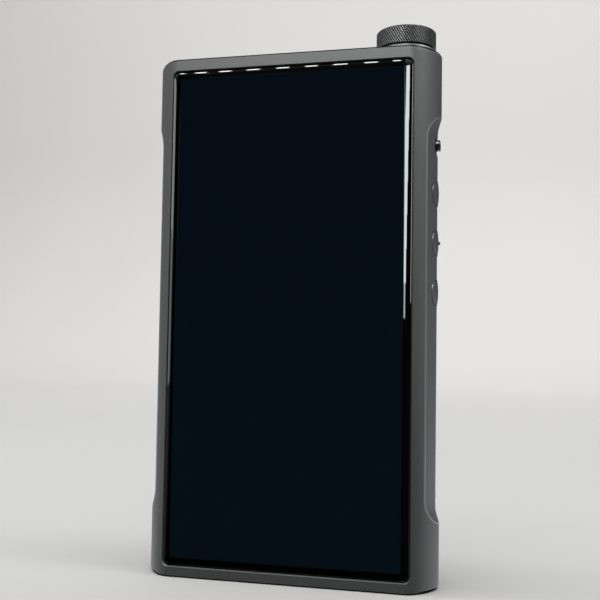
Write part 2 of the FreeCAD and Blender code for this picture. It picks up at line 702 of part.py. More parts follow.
pack_top = size("battery_high")
sub_part("battery_wires", group(*[
    wire_run([(x, 4.6, pack_top + 0.1), (x, 4.6, pack_top + 1.6), (x, 4.2, 113.2),
              (x, 2.2, 116.6), (x, 0.0, 118.0), (x, -2.35, 118.3)])
    for x in (7.2, 9.0, 10.8)]))

# ---------------------------------------------------------------- radio aerial
sub_part("antenna_film", box(-28, -7, "cover_front - 0.2", "cover_front - 0.02", 115.5, 134.0))
sub_part("antenna_lead", wire_run([(-27.0, -3.9, 116.4), (-27.0, -1.5, 116.8), (-25.0, 2.0, 119.0),
                                   (-20.0, 5.5, 122.5), (-17.0, 7.1, 124.0)]))

# ---------------------------------------------------------------- volume knob
knob = turned("volume_knob_plain", (
    ("knob_hollow_rad", "knob_low"), ("knob_rad - knob_bevel", "knob_low"),
    ("knob_rad", "knob_low + knob_bevel"), ("knob_rad", "knob_high - knob_bevel"),
    ("knob_rad - knob_bevel", "knob_high"), (0, "knob_high"),
    (0, "knob_hollow_high"), ("knob_hollow_rad", "knob_hollow_high")), x="knob_x")
d_bore = cut(cyl("z", "shaft_rad + shaft_gap", "knob_x", 0, "knob_hollow_high - 0.5",
                 "shaft_high - knob_hollow_high + 0.55"),
             box(*about("knob_x", 4), "shaft_flat + shaft_gap", 5, 140, 148))
sub_part("volume_knob", cut(knob, d_bore))
sub_part("knob_collar", turned("knob_collar", (
    ("collar_bore", "collar_low"), ("collar_rad", "collar_low"),
    ("collar_rad", "collar_high - collar_bevel"), ("collar_rad - collar_bevel", "collar_high"),
    ("collar_bore", "collar_high")), x="knob_x"))

# ---------------------------------------------------------------- rotary encoder
bush = turned("encoder_bush_plain", rect("shaft_rad + shaft_gap", "bush_rad",
                                         "encoder_high - 0.5", "bush_high"), x="knob_x")
encoder_can = cut(
    box(*about("knob_x", "encoder_half_w"), *about(0, "encoder_half_d"),
        "encoder_low", "encoder_high"),
    cyl("z", "shaft_rad + shaft_gap", "knob_x", 0, "encoder_low + 1.3", 10),
    cyl("z", 4.1, "knob_x", 0, "encoder_low + 1.3", 2.2))
sub_part("encoder_body", fuse(encoder_can, bush))
sub_part("encoder_shaft", cut(
    fuse(cyl("z", "shaft_rad", "knob_x", 0, "encoder_low + 1.6", "shaft_high - encoder_low - 1.6"),
         cyl("z", 4.0, "knob_x", 0, "encoder_low + 1.6", 1.6)),
    box(*about("knob_x", 4), "shaft_flat", 5, 144.0, 148)))
sub_part("encoder_washer", turned("encoder_washer", rect(
    "bush_rad + 0.05", "washer_rad", "collar_low", "collar_low + washer_t"), x="knob_x"))

NUT_CORNER_RAD = 5.4
hexagon = [("%.4f" % (NUT_CORNER_RAD * math.cos(math.radians(60 * k))),
            "%.4f" % (NUT_CORNER_RAD * math.sin(math.radians(60 * k)))) for k in range(6)]
nut = doc.addObject("PartDesign::Body", "encoder_nut")
nut_sketch = outline(nut, "XY_Plane", hexagon)
add_circle(nut_sketch, 0, 0, "bush_rad + 0.04")
padded(nut, nut_sketch, "nut_t")
sub_part("encoder_nut", place(nut, x="knob_x", z="collar_low + washer_t"))

# ---------------------------------------------------------------- side keys
KEY_PROUD, KEY_SAG, KEY_RAD = size("key_proud"), size("key_sag"), size("key_rad")


def key_face(key_z):
    """Solid outside a key's face, which follows the channel floor and is a little crowned."""
    steps = [-5.0 + 10.0 * i / 14.0 for i in range(15)]
    return outside([[V(channel_floor(y, key_z + u) + KEY_PROUD
                       - KEY_SAG * (y * y + u * u) / (KEY_RAD * KEY_RAD), y, key_z + u)
                     for u in steps] for y in steps], 6)


for name, z in KEYS.items():
    stock = turned(name + "_stock", [
        ("key_stem_in", 0), ("key_stem_in", "key_stem_rad"), ("key_flange_in", "key_stem_rad"),
        ("key_flange_in", "key_flange_rad"), ("key_shoulder - 0.1", "key_flange_rad"),
        ("key_shoulder - 0.1", "key_rad"), (41, "key_rad"), (41, 0)], z=z, axis="H_Axis")
    trims = [feature(key_face(size(z)), "key_face")]
    if name == "play":
        trims.append(cyl("x", "pip_rad", "pip_in", 0, z, 2))
    sub_part(name + "_button", cut(stock, *trims))

# raised pip in the middle of the play key
crest = channel_floor(0.0, size(KEYS["play"])) + KEY_PROUD
pip = cyl("x", "pip_rad", "pip_in", 0, KEYS["play"], "%.4f - pip_in" % (crest + 0.42))
sub_part("play_button_pip", rounded(pip, 0.18, lambda e: e.BoundBox.XMin > crest + 0.3))

bracket_holes = [cyl("x", 1.5, "bracket_in - 1", 0, z, 3) for z in KEYS.values()]
bracket_holes += [cyl("x", "screw_hole_rad", "bracket_in - 1", 0, z, 3) for z in KEY_SCREWS]
sub_part("button_bracket", cut(box("bracket_in", "bracket_out", -4.4, 4.4,
                                   *about(KEYS["play"], "key_pitch + 5.0")), *bracket_holes))
sub_part("bracket_screws", group(*[
    fuse(cyl("x", "screw_head_rad", "bracket_in - 0.5", 0, z, 0.5),
         cyl("x", "screw_rad", "bracket_in", 0, z, 2.8)) for z in KEY_SCREWS]))

switches = []
for name, z in KEYS.items():
    switches.append(cut(box("switch_in", "switch_out", "board_back", 1.15, *about(z, 2.6)),
                        cyl("x", 0.95, 30.4, 0, z, 3)))
    sub_part(name + "_switch_plunger", cyl("x", 0.9, 31.0, 0, z, 2.1))
sub_part("key_switches", group(*switches))

# ---------------------------------------------------------------- hold slider
# The slider plate has a window for the foot of the tab, and a fork that straddles the lever.
tab_foot = (*about(0, "tab_half - tab_inset"), "tab_low + tab_inset", "tab_high - tab_inset")
slider = cut(box("hold_plate_in", "hold_plate_out", -3.1, 3.1,
                 "hold_slot_low - 0.1", "hold_slot_high + 1.5"), box(35, 37, *tab_foot))
forks = [box(34.3, "hold_plate_in", -3.0, -1.6, z0, z1) for z0, z1 in (
    ("lever_low - lever_gap - prong_w", "lever_low - lever_gap"),
    ("lever_high + lever_gap", "lever_high + lever_gap + prong_w"))]
sub_part("hold_slider", fuse(slider, *forks))

# tab with a crowned face and three grooves across it
tab = rounded(box("hold_plate_out", "tab_out", *about(0, "tab_half"), "tab_low", "tab_high"),
              1.4, parallel("x"))
tab = common(tab, cyl("y", "tab_crown", "tab_out - tab_crown", -2,
                      "tab_low / 2 + tab_high / 2", 4))
tab = cut(tab, *[box("tab_out - 0.45", "tab_out + 0.5", -2, 2, *about("tab_low + %s" % up, 0.16))
                 for up in (0.75, 1.45, 2.15)])
sub_part("hold_tab", fuse(tab, box(35.6, 36.35, *tab_foot)))
sub_part("hold_switch_body", cut(
    box("switch_in", "switch_out", "board_back", -1.0, 113.0, 120.4),
    box(30.2, 32.5, -3.1, -2.0, 115.0, 118.0)))
sub_part("hold_switch_lever", box(30.3, 35.2, -3.0, -2.1, "lever_low", "lever_high"))

# ---------------------------------------------------------------- power key
power_head = rounded(box(*about("power_x", "power_len / 2"), *about(0, "power_wid / 2"),
                         139.0, "power_out"), size("power_wid") / 2 - 0.001, parallel("z"))
power_head = rounded(power_head, 0.3, lambda e: e.BoundBox.ZMin > size("power_out") - 1e-3)
sub_part("power_button", fuse(
    power_head,
    box(*about("power_x", 4.6), -2.1, 2.1, 138.5, 139.4),
    box(*about("power_x", 1), -2.1, -1.1, 137.2, 138.6)))
sub_part("power_switch", cut(box(*about("power_x", 2.3), "board_back", 0.4, 133.2, 136.1),
                             cyl("z", 0.65, "power_x", "plunger_y", 134.0, 3)))
sub_part("power_switch_plunger", cyl("z", 0.6, "power_x", "plunger_y", 134.5, 2.7))

# ---------------------------------------------------------------- headphone sockets
contacts = []
for label, jack, half, block_high, bore_end, nose, ring, contact_zs in JACKS:
    centre, bore = jack + "_x", jack + "_bore"
    block = box(*about(centre, half), "board_back", half, 5.7, block_high)
    sub_part(label, cut(fuse(block, cyl("z", nose, centre, 0, 1.2, 5)),
                        cyl("z", bore, centre, 0, 0, bore_end)))
    sub_part(label + "_ring", turned(label + "_ring", rect(bore + " + 0.2", ring, 0.1, 0.95),
                                     x=centre))
    contacts += [box(*about(centre, 0.5), half + 0.02, half + 0.22, z - 0.6, z + 1.2)
                 for z in contact_zs]
sub_part("jack_contacts", group(*contacts))

# ---------------------------------------------------------------- charging socket
usb_outer = rounded(box(*about("usb_x", "usb_half_w"), *about(0, "usb_half_d"), 0.25, 7.8),
                    1.55, parallel("z"))
usb_inner = rounded(box(*about("usb_x", "usb_half_w - usb_wall"),
                        *about(0, "usb_half_d - usb_wall"), -1, "usb_depth"),
                    1.27, parallel("z"))
sub_part("charging_socket_shell", cut(usb_outer, usb_inner))
sub_part("charging_socket_tongue", box(*about("usb_x", 3.3), -0.35, 0.35, 1.1, "usb_depth"))

# ---------------------------------------------------------------- memory card tray
# The tray face follows the floor of the left channel and has a small round ejector hole.
tray_face = rounded(box("-case_half_w - 1", -36.7, *about(0, "tray_face_d"),
                        *about("card_z", "tray_face_half")),
                    size("tray_face_d") - 0.001, parallel("x"))
tray_face = cut(tray_face, channel_left,
                cyl("x", 0.4, -45, 0, "card_z + tray_face_half - 1.3", 12))
carrier = cut(box(-37.0, -17.5, -0.5, 0.5, *about("card_z", "tray_half")),
              box(-34.4, -18.9, -0.2, 1, *about("card_z", 5.6)),
              box(-32.9, -20.4, -1, 1, *about("card_z", 4.6)))
sub_part("card_tray", fuse(tray_face, carrier))
sub_part("card_socket", cut(box(-31.9, -15.6, "board_back", 1.15, *about("card_z", 7.6)),
                            box(-33, -17.2, -0.6, 0.6, *about("card_z", 6.5)),
                            box(-33, -17.2, -3.6, -1.0, *about("card_z", 6.5))))

# ---------------------------------------------------------------- check and write every sub-part
doc.recompute()
bad = [o.Label for o in doc.Objects if "Invalid" in o.State or "Error" in o.State]
if bad:
    raise SystemExit("failed objects: %s" % bad)
os.makedirs("parts", exist_ok=True)
for label, obj in sorted(PARTS.items()):
    shape = obj.Shape
    if (shape.isNull() or not shape.isValid() or not shape.Solids
            or min(s.Volume for s in shape.Solids) <= 0):
        raise SystemExit("bad shape in %s" % label)
    shape.exportStep(os.path.join("parts", label + ".step"))
print(len(PARTS), "sub-parts written")
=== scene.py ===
"""A pocket music player, standing upright on a pale studio floor.

Metres, +Z up. The player's width runs along X and its height along Z, and its glass front
faces -Y, towards the camera. The volume knob is at the top, near the +X side.
"""
import json
import math

import bpy
from mathutils import Matrix, Vector


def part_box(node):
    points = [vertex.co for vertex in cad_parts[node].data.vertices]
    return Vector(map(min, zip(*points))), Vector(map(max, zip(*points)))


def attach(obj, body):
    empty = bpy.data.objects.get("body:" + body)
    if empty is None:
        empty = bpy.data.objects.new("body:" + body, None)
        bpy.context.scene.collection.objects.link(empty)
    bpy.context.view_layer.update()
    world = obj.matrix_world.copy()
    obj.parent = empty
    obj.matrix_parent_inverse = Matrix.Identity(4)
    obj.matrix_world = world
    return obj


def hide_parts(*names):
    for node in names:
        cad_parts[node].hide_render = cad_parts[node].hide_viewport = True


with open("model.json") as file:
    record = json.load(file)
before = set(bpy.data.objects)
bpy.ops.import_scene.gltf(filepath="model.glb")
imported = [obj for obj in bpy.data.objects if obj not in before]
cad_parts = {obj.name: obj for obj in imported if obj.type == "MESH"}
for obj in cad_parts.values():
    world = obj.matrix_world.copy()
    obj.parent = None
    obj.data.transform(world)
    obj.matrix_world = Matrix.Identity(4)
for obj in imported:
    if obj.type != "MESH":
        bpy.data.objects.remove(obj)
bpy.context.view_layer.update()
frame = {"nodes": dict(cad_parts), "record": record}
NODES = frame["nodes"]
MM = 0.001
TURN = 2 * math.pi

KNOB_X = 30.3 * MM                  # axis of the volume knob and its collar, which lies at y = 0
KNOB_CHAMFER = 0.34 * MM
KNURL_STARTS = 76                   # grooves round the knob
KNURL_LEAN = 0.60                   # sideways travel of a groove for each unit of rise
JACK_RINGS = {                      # ring: X of its axis, which lies at y = 0
    "balanced_jack_large_ring": 22.0 * MM,
    "headphone_jack_ring": 10.5 * MM,
    "balanced_jack_small_ring": 0.5 * MM,
}


# ---------------------------------------------------------------------------- node helpers
class Nodes:
    """Adds nodes to a node tree. Inputs take either a number, a colour or another socket."""

    def __init__(self, tree):
        self.tree = tree

    def put(self, socket, value):
        if isinstance(value, bpy.types.NodeSocket):
            self.tree.links.new(value, socket)
        elif socket.type == "RGBA":
            socket.default_value = (*value, 1.0)
        else:
            socket.default_value = value

    def node(self, kind, inputs, **attributes):
        """Makes a node, fills its inputs (by name or index) and returns its outputs."""
        node = self.tree.nodes.new("ShaderNode" + kind)
        for name, value in attributes.items():
            setattr(node, name, value)
        for key, value in inputs.items():
            self.put(node.inputs[key], value)
        return node.outputs

    def separate(self, vector):
        return self.node("SeparateXYZ", {0: vector})

    def math(self, operation, *values):
        return self.node("Math", dict(enumerate(values)), operation=operation)[0]

    def add(self, a, b):
        return self.math("ADD", a, b)

    def sub(self, a, b):
        return self.math("SUBTRACT", a, b)

    def mul(self, a, b):
        return self.math("MULTIPLY", a, b)

    def ramp(self, value, span, to=(0.0, 1.0)):
        """Carries the span smoothly over to another range."""
        inputs = dict(enumerate((value, *span, *to)))
        return self.node("MapRange", inputs, interpolation_type="SMOOTHSTEP")[0]


class Material(Nodes):
    """A Principled material. Every method but `surface` returns output sockets."""

    def __init__(self, name):
        self.data = bpy.data.materials.new(name)
        self.data.use_nodes = True
        super().__init__(self.data.node_tree)
        self.tree.nodes.clear()
        output = self.tree.nodes.new("ShaderNodeOutputMaterial")
        self.shader = self.tree.nodes.new("ShaderNodeBsdfPrincipled")
        self.tree.links.new(self.shader.outputs[0], output.inputs["Surface"])
        self.place = self.node("TexCoord", {})["Object"]

    def surface(self, **inputs):
        """Fills the shader's inputs (underscores stand for spaces) and returns the material."""
        for name, value in inputs.items():
            self.put(self.shader.inputs[name.replace("_", " ")], value)
        return self.data

    def xyz(self):
        return self.separate(self.place)

    def math(self, operation, *values):
        """Operands that aren't given are set to 0."""
        return super().math(operation, *values, *(0.0,) * (3 - len(values)))

    def absolute(self, value):
        return self.math("ABSOLUTE", value)

    def length(self, a, b):
        return self.math("SQRT", self.add(self.mul(a, a), self.mul(b, b)))

    def ripple(self, value, pitch):
        return self.math("SINE", self.mul(value, TURN / pitch))

    def mix(self, weight, start, end):
        """Blends two colours."""
        return self.node("Mix", {0: weight, 6: start, 7: end}, data_type="RGBA")[2]

    def blend(self, weight, start, end):
        """Blends two numbers."""
        return self.node("Mix", {0: weight, 2: start, 3: end}, data_type="FLOAT")[0]

    def scaled(self, *scale):
        return self.node("Mapping", {0: self.place, "Scale": scale})[0]

    def noise(self, scale, detail, rough=0.5, vector=None, distortion=0.0):
        return self.node("TexNoise", {
            "Vector": vector or self.place, "Scale": scale, "Detail": detail,
            "Roughness": rough, "Distortion": distortion})["Fac"]

    def wave(self, scale, direction, distortion, vector=None):
        return self.node("TexWave", {
            "Vector": vector or self.place, "Scale": scale, "Distortion": distortion,
        }, bands_direction=direction)["Fac"]

    def bump(self, height, distance, strength):
        return self.node("Bump", {
            "Distance": distance, "Strength": strength, "Height": height})[0]

    def normal(self):
        return self.node("NewGeometry", {})["Normal"]

    def edge(self, radius):
        """1 on edges, 0 elsewhere: how far a bevelled normal turns from the true one."""
        bevelled = self.node("Bevel", {"Radius": radius}, samples=6)[0]
        dot = self.node("VectorMath", {0: bevelled, 1: self.normal()}, operation="DOT_PRODUCT")
        return self.ramp(dot["Value"], span=(0.995, 0.85))


def shade(color, factor, lift=0.0):
    return tuple(min(1, c * factor + lift) for c in color)


def dress(obj, material):
    """Gives the object this one material on every face."""
    obj.data.materials.clear()
    obj.data.materials.append(material)
    return obj


# ---------------------------------------------------------------------------- materials
def case_metal():
    """Bead-blasted dark grey aluminium, with a lighter cut line round each grip channel that is
    partly the bare cut metal and partly a painted highlight.
    """
    channel_z, channel_half, channel_radius = 70.65 * MM, 47.15 * MM, 6.5 * MM
    side_x = 35.6 * MM              # the sides lie beyond this
    case_z, end_reach = 71.0 * MM, 70.2 * MM
    k = Material("case_metal")
    x, y, z = k.xyz()
    cloud = k.noise(scale=38.0, detail=3.0, rough=0.6)
    grain = k.noise(scale=5200.0, detail=2.0, rough=0.6)
    base = k.mix(k.ramp(cloud, span=(0.35, 0.65)),
                 start=(0.150, 0.154, 0.155), end=(0.164, 0.168, 0.168))
    base = k.mix(k.ramp(grain, span=(0.38, 0.66)), base, end=(0.186, 0.190, 0.190))

    # channel border: a racetrack round the middle of each side; the line along it is partly bare
    # cut metal and partly a painted highlight standing for a chamfer catching the light
    beyond = k.math("MAXIMUM", k.sub(k.absolute(k.sub(z, channel_z)), channel_half), 0.0)
    radius = k.length(y, beyond)
    near = k.ramp(k.absolute(k.sub(radius, channel_radius)),
                  span=(0.16 * MM, 0.34 * MM), to=(1.0, 0.0))
    line = k.mul(near, k.math("GREATER_THAN", k.absolute(x), side_x))
    # painted highlight, partly the cut metal's own lighter colour: the border line is mixed
    # towards light grey
    base = k.mix(k.mul(line, 0.58), base, end=(0.42, 0.43, 0.43))

    # painted shade: the small rounding round the top and bottom faces is coloured black and made
    # dull, with no metal or specular reflection
    upright = k.absolute(k.separate(k.normal())[2])
    end = k.math("GREATER_THAN", k.absolute(k.sub(z, case_z)), end_reach)
    painted_shade_rounding = k.mul(k.ramp(upright, span=(0.05, 0.27)), k.ramp(upright, span=(0.9995, 0.996)))
    rim = k.mul(painted_shade_rounding, end)
    base = k.mix(k.mul(rim, 0.93), base, end=(0.0, 0.0, 0.0))
    rough = k.ramp(grain, span=(0.3, 0.7), to=(0.46, 0.54))
    rough = k.blend(line, rough, end=0.36)
    return k.surface(
        Base_Color=base,
        Metallic=k.blend(rim, start=0.92, end=0.0),
        Roughness=rough,
        Specular_IOR_Level=k.blend(rim, start=0.5, end=0.0),
        Normal=k.bump(grain, distance=0.00002, strength=0.5))


def cover_glass():
    """Glossy glass over a dark screen, with a black border near the edge."""
    screen_half_x, screen_half_z, screen_z = 31.3 * MM, 65.5 * MM, 70.75 * MM
    k = Material("cover_glass")
    x, _, z = k.xyz()
    inside_x = k.sub(screen_half_x, k.absolute(x))
    inside_z = k.sub(screen_half_z, k.absolute(k.sub(z, screen_z)))
    inside = k.ramp(k.math("MINIMUM", inside_x, inside_z), span=(-0.1 * MM, 0.15 * MM))
    speckle = k.noise(scale=9000.0, detail=1.0)
    screen = k.mix(k.ramp(speckle, span=(0.3, 0.7)),
                   start=(0.0036, 0.0092, 0.0170), end=(0.0046, 0.0108, 0.0196))
    smear = k.noise(scale=60.0, detail=3.0, rough=0.6, distortion=0.4)
    base = k.mix(inside, start=(0.0006, 0.0006, 0.0007), end=screen)
    rough = k.ramp(smear, span=(0.3, 0.8), to=(0.012, 0.03))
    # the long edges reflect more than the face
    long_edge = k.math("MAXIMUM", k.ramp(x, span=(31.2 * MM, 31.6 * MM)),
                       k.ramp(x, span=(-32.0 * MM, -32.15 * MM)))
    return k.surface(Base_Color=base, Metallic=0.0, Roughness=rough,
                     IOR=k.blend(long_edge, start=1.16, end=1.60))


def plain_metal(name, color, rough, metallic=1.0, grain_scale=2500.0, grain=0.08,
                stretch=(1, 1, 1)):
    """Grained metal; `grain` is how far the colour swings either way."""
    k = Material(name)
    n = k.noise(grain_scale, detail=3.0, rough=0.6, vector=k.scaled(*stretch))
    return k.surface(
        Base_Color=k.mix(n, shade(color, 1 - grain), shade(color, 1 + grain)),
        Metallic=metallic,
        Roughness=k.ramp(n, span=(0.3, 0.7), to=(rough * 0.85, rough * 1.15)),
        Normal=k.bump(n, distance=0.00001, strength=0.4))


def moulded(name, color, rough, grain_scale=3000.0):
    """Finely grained, non-metallic material."""
    k = Material(name)
    grain = k.noise(grain_scale, detail=3.0, rough=0.6)
    cloud = k.noise(scale=120.0, detail=2.0)
    return k.surface(
        Base_Color=k.mix(cloud, shade(color, 0.85), shade(color, 1.15)),
        Roughness=k.ramp(grain, span=(0.3, 0.7), to=(rough - 0.06, rough + 0.06)),
        Normal=k.bump(grain, distance=0.00002, strength=0.5))


def board_mask():
    """Solder mask with fine copper runs and pads."""
    k = Material("board_mask")
    runs_x = k.wave(scale=900.0, direction="X", distortion=6.0, vector=k.scaled(1, 1, 1))
    runs_z = k.wave(scale=700.0, direction="Z", distortion=5.0)
    runs = k.ramp(k.math("MAXIMUM", runs_x, runs_z), span=(0.86, 0.93))
    cells = k.node("TexVoronoi", {"Vector": k.place, "Scale": 700.0})["Distance"]
    pads = k.ramp(cells, span=(0.10, 0.16), to=(1.0, 0.0))
    base = k.mix(runs, start=(0.006, 0.045, 0.018), end=(0.012, 0.09, 0.035))
    base = k.mix(k.mul(pads, 0.8), base, end=(0.62, 0.48, 0.20))
    return k.surface(Base_Color=base, Roughness=0.35,
                     Normal=k.bump(runs, distance=0.00003, strength=0.5))


def rear_glass():
    """Dark rear panel with a fine diagonal weave under a clear coat."""
    weave_pitch = 1.6 * MM
    k = Material("rear_glass")
    x, _, z = k.xyz()
    rising = k.ripple(k.add(x, z), weave_pitch)
    falling = k.ripple(k.sub(x, z), weave_pitch)
    over = k.math("GREATER_THAN", k.mul(rising, falling), 0.0)
    fibre = k.noise(scale=3800.0, detail=2.0, vector=k.scaled(1, 1, 0.15))
    base = k.mix(over, start=(0.012, 0.012, 0.013), end=(0.030, 0.031, 0.033))
    base = k.mix(k.mul(k.ramp(fibre, span=(0.4, 0.7)), 0.4), base, end=(0.05, 0.05, 0.052))
    return k.surface(
        Base_Color=base,
        Roughness=k.blend(over, start=0.32, end=0.48),
        Metallic=0.3,
        Coat_Weight=1.0,
        Coat_Roughness=0.04,
        Normal=k.bump(k.mul(rising, falling), distance=0.00002, strength=0.35))


def turned_metal(name, color, rough, axis_x, groove_pitch):
    """Lathe-turned metal: grooves round an upright axis at y = 0 and slightly worn edges."""
    k = Material(name)
    x, y, _ = k.xyz()
    radius = k.length(k.sub(x, axis_x), k.sub(y, 0.0))
    grooves = k.ripple(radius, groove_pitch)
    n = k.noise(scale=900.0, detail=3.0)
    edge = k.edge(radius=0.12 * MM)
    base = k.mix(n, shade(color, 0.88), shade(color, 1.1))
    base = k.mix(k.mul(edge, 0.25), base, shade(color, 2.2, lift=0.05))
    return k.surface(
        Base_Color=base,
        Metallic=1.0,
        Roughness=k.ramp(n, span=(0.3, 0.7), to=(rough * 0.85, rough * 1.15)),
        Normal=k.bump(grooves, distance=0.000012, strength=0.5))


def key_metal():
    """Blasted key metal like the case, with a thin painted highlight on its edges."""
    k = Material("key_metal")
    grain = k.noise(scale=4800.0, detail=2.0, rough=0.6)
    cloud = k.noise(scale=300.0, detail=2.0)
    base = k.mix(cloud, start=(0.150, 0.154, 0.156), end=(0.172, 0.176, 0.178))
    base = k.mix(k.ramp(grain, span=(0.4, 0.66)), base, end=(0.20, 0.204, 0.206))
    # painted highlight: the key edges are mixed towards light grey
    base = k.mix(k.mul(k.edge(radius=0.15 * MM), 0.45), base, end=(0.50, 0.51, 0.52))
    return k.surface(
        Base_Color=base,
        Metallic=0.92,
        Roughness=k.ramp(grain, span=(0.3, 0.7), to=(0.34, 0.44)),
        Normal=k.bump(grain, distance=0.00002, strength=0.5))


def knob_metal():
    """Black anodising with painted highlights on the crests of the knurl, and turned fine on the
    top.
    """
    top_radius = 7.50 * MM
    knurl_radius = 7.6 * MM         # the knurl's side lies beyond this
    k = Material("knob_metal")
    x, y, z = k.xyz()
    from_axis = k.sub(x, KNOB_X)
    radius = k.length(from_axis, y)
    n = k.noise(scale=1400.0, detail=3.0)
    low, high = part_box("volume_knob")
    # the same count of grooves as the mesh, round the knob and up it
    turn = k.mul(k.math("ARCTAN2", y, from_axis), KNURL_STARTS / TURN)
    rise = k.mul(k.sub(z, low.z + KNOB_CHAMFER),
                 KNURL_LEAN * KNURL_STARTS / (TURN * (high.x - low.x) / 2))
    # the large whole number keeps the value positive
    phase = k.math("FRACT", k.add(k.add(turn, rise), 1000.0))
    crest = k.ramp(k.absolute(k.sub(phase, 0.5)), span=(0.12, 0.26), to=(1.0, 0.0))
    band = k.mul(k.math("GREATER_THAN", z, low.z + 0.30 * MM),
                 k.math("LESS_THAN", z, high.z - 0.30 * MM))
    crest = k.mul(crest, k.mul(band, k.math("GREATER_THAN", radius, knurl_radius)))
    rim = k.mul(k.math("GREATER_THAN", z, high.z - 0.36 * MM),
                k.math("GREATER_THAN", radius, top_radius))
    base = k.mix(n, start=(0.006, 0.0065, 0.008), end=(0.010, 0.011, 0.013))
    # painted highlight: the knurl crests are coloured light grey, standing for the glints off
    # its facets
    base = k.mix(k.mul(crest, 0.90), base, end=(0.30, 0.31, 0.31))
    base = k.mix(k.mul(rim, 0.5), base, end=(0.18, 0.18, 0.185))
    grooves = k.ripple(radius, pitch=0.14 * MM)
    flat = k.math("LESS_THAN", radius, top_radius)
    return k.surface(
        Base_Color=base,
        Metallic=0.85,
        Roughness=k.ramp(n, span=(0.3, 0.7), to=(0.20, 0.30)),
        Normal=k.bump(k.mul(grooves, flat), distance=0.00001, strength=0.4))


def studio_paper():
    """Pale paper with painted light: it is coloured darker near the player and lighter towards
    the back.
    """
    k = Material("studio_paper")
    n = k.noise(scale=3.0, detail=2.0)
    # painted shading: the near paper is coloured darker and the far paper lighter, standing for
    # the fall of light
    far = k.ramp(k.xyz()[1], span=(0.25, 1.65))
    near_paper = k.mix(n, start=(0.455, 0.45, 0.44), end=(0.475, 0.47, 0.46))
    far_paper = k.mix(n, start=(0.70, 0.69, 0.67), end=(0.74, 0.73, 0.715))
    return k.surface(Base_Color=k.mix(far, near_paper, far_paper), Roughness=0.8)


black = moulded("moulded_black", (0.016, 0.016, 0.017), rough=0.5)
key = key_metal()
BY_SLOT = {
    "case_aluminium": case_metal(),
    "cover_glass": cover_glass(),
    "screen_panel": moulded("panel_face", (0.008, 0.009, 0.012), rough=0.2),
    "light_frame": moulded("light_guide", (0.72, 0.72, 0.72), rough=0.4),
    "tape": moulded("bonding_tape", (0.012, 0.012, 0.012), rough=0.7),
    "rear_glass": rear_glass(),
    "knob_black": key,
    "collar_grey": turned_metal("collar_turned", (0.58, 0.585, 0.59), rough=0.34,
                                axis_x=KNOB_X, groove_pitch=0.12 * MM),
    "steel": plain_metal("sheet_steel", (0.50, 0.51, 0.52), rough=0.28, stretch=(1, 1, 0.1)),
    "key_metal": key,
    "pip_black": black,
    "tab_grey": plain_metal("tab_metal", (0.085, 0.087, 0.090), rough=0.24, metallic=0.9),
    "plastic_black": black,
    "board": board_mask(),
    "chip_black": moulded("chip_body", (0.020, 0.020, 0.021), rough=0.42, grain_scale=1800.0),
    "tinned": plain_metal("tinned_sheet", (0.58, 0.58, 0.56), rough=0.34, stretch=(0.2, 1, 1)),
    "film_amber": moulded("polyimide_film", (0.42, 0.20, 0.035), rough=0.3, grain_scale=900.0),
    "pack_foil": plain_metal("pack_foil", (0.34, 0.35, 0.36), rough=0.38, metallic=0.7,
                             grain_scale=300.0, grain=0.15),
    "wire_red": moulded("wire_jacket", (0.36, 0.02, 0.015), rough=0.4),
    "gold": plain_metal("plated_contact", (0.76, 0.55, 0.24), rough=0.22),
}
for part in frame["record"]["subparts"]:
    dress(NODES[part["node"]], BY_SLOT[part["material_slot"]])
for name, axis_x in JACK_RINGS.items():
    dress(NODES[name], turned_metal(name + "_turned", (0.70, 0.52, 0.25), rough=0.24,
                                    axis_x=axis_x, groove_pitch=0.16 * MM))


# ---------------------------------------------------------------------------- volume knob
KNURL_COLUMNS = 8                   # mesh columns in one groove
GROOVE_DEPTH = 0.17 * MM
CROSS_GROOVE_DEPTH = 0.05 * MM
HOLLOW_RADIUS = 6.34 * MM
HOLLOW_DEPTH = 1.97 * MM
TOP_DISH = (                        # radius, height from the top, both in mm
    (6.95, 0.0), (6.75, -0.06), (6.55, -0.12), (6.3, -0.14),
    (5.2, -0.15), (4.0, -0.16), (2.6, -0.17), (1.2, -0.17),
)


def add_mesh(name, verts, faces):
    mesh = bpy.data.meshes.new(name)
    mesh.from_pydata(verts, [], faces)
    mesh.update()
    obj = bpy.data.objects.new(name, mesh)
    bpy.context.scene.collection.objects.link(obj)
    return obj


def knurl_depth(turn, rise):
    """Depth of the cut, at a place counted in grooves round the knob and up it."""
    phase, cross_phase = (turn + rise) % 1.0, (turn - rise) % 1.0
    # 1 in a groove, 0 on a crest
    along = 1.0 - min(1.0, (1.0 - abs(2 * phase - 1)) * 2.0)
    across = 1.0 - min(1.0, (1.0 - abs(2 * cross_phase - 1)) * 1.6)
    return max(GROOVE_DEPTH * along, CROSS_GROOVE_DEPTH * across)


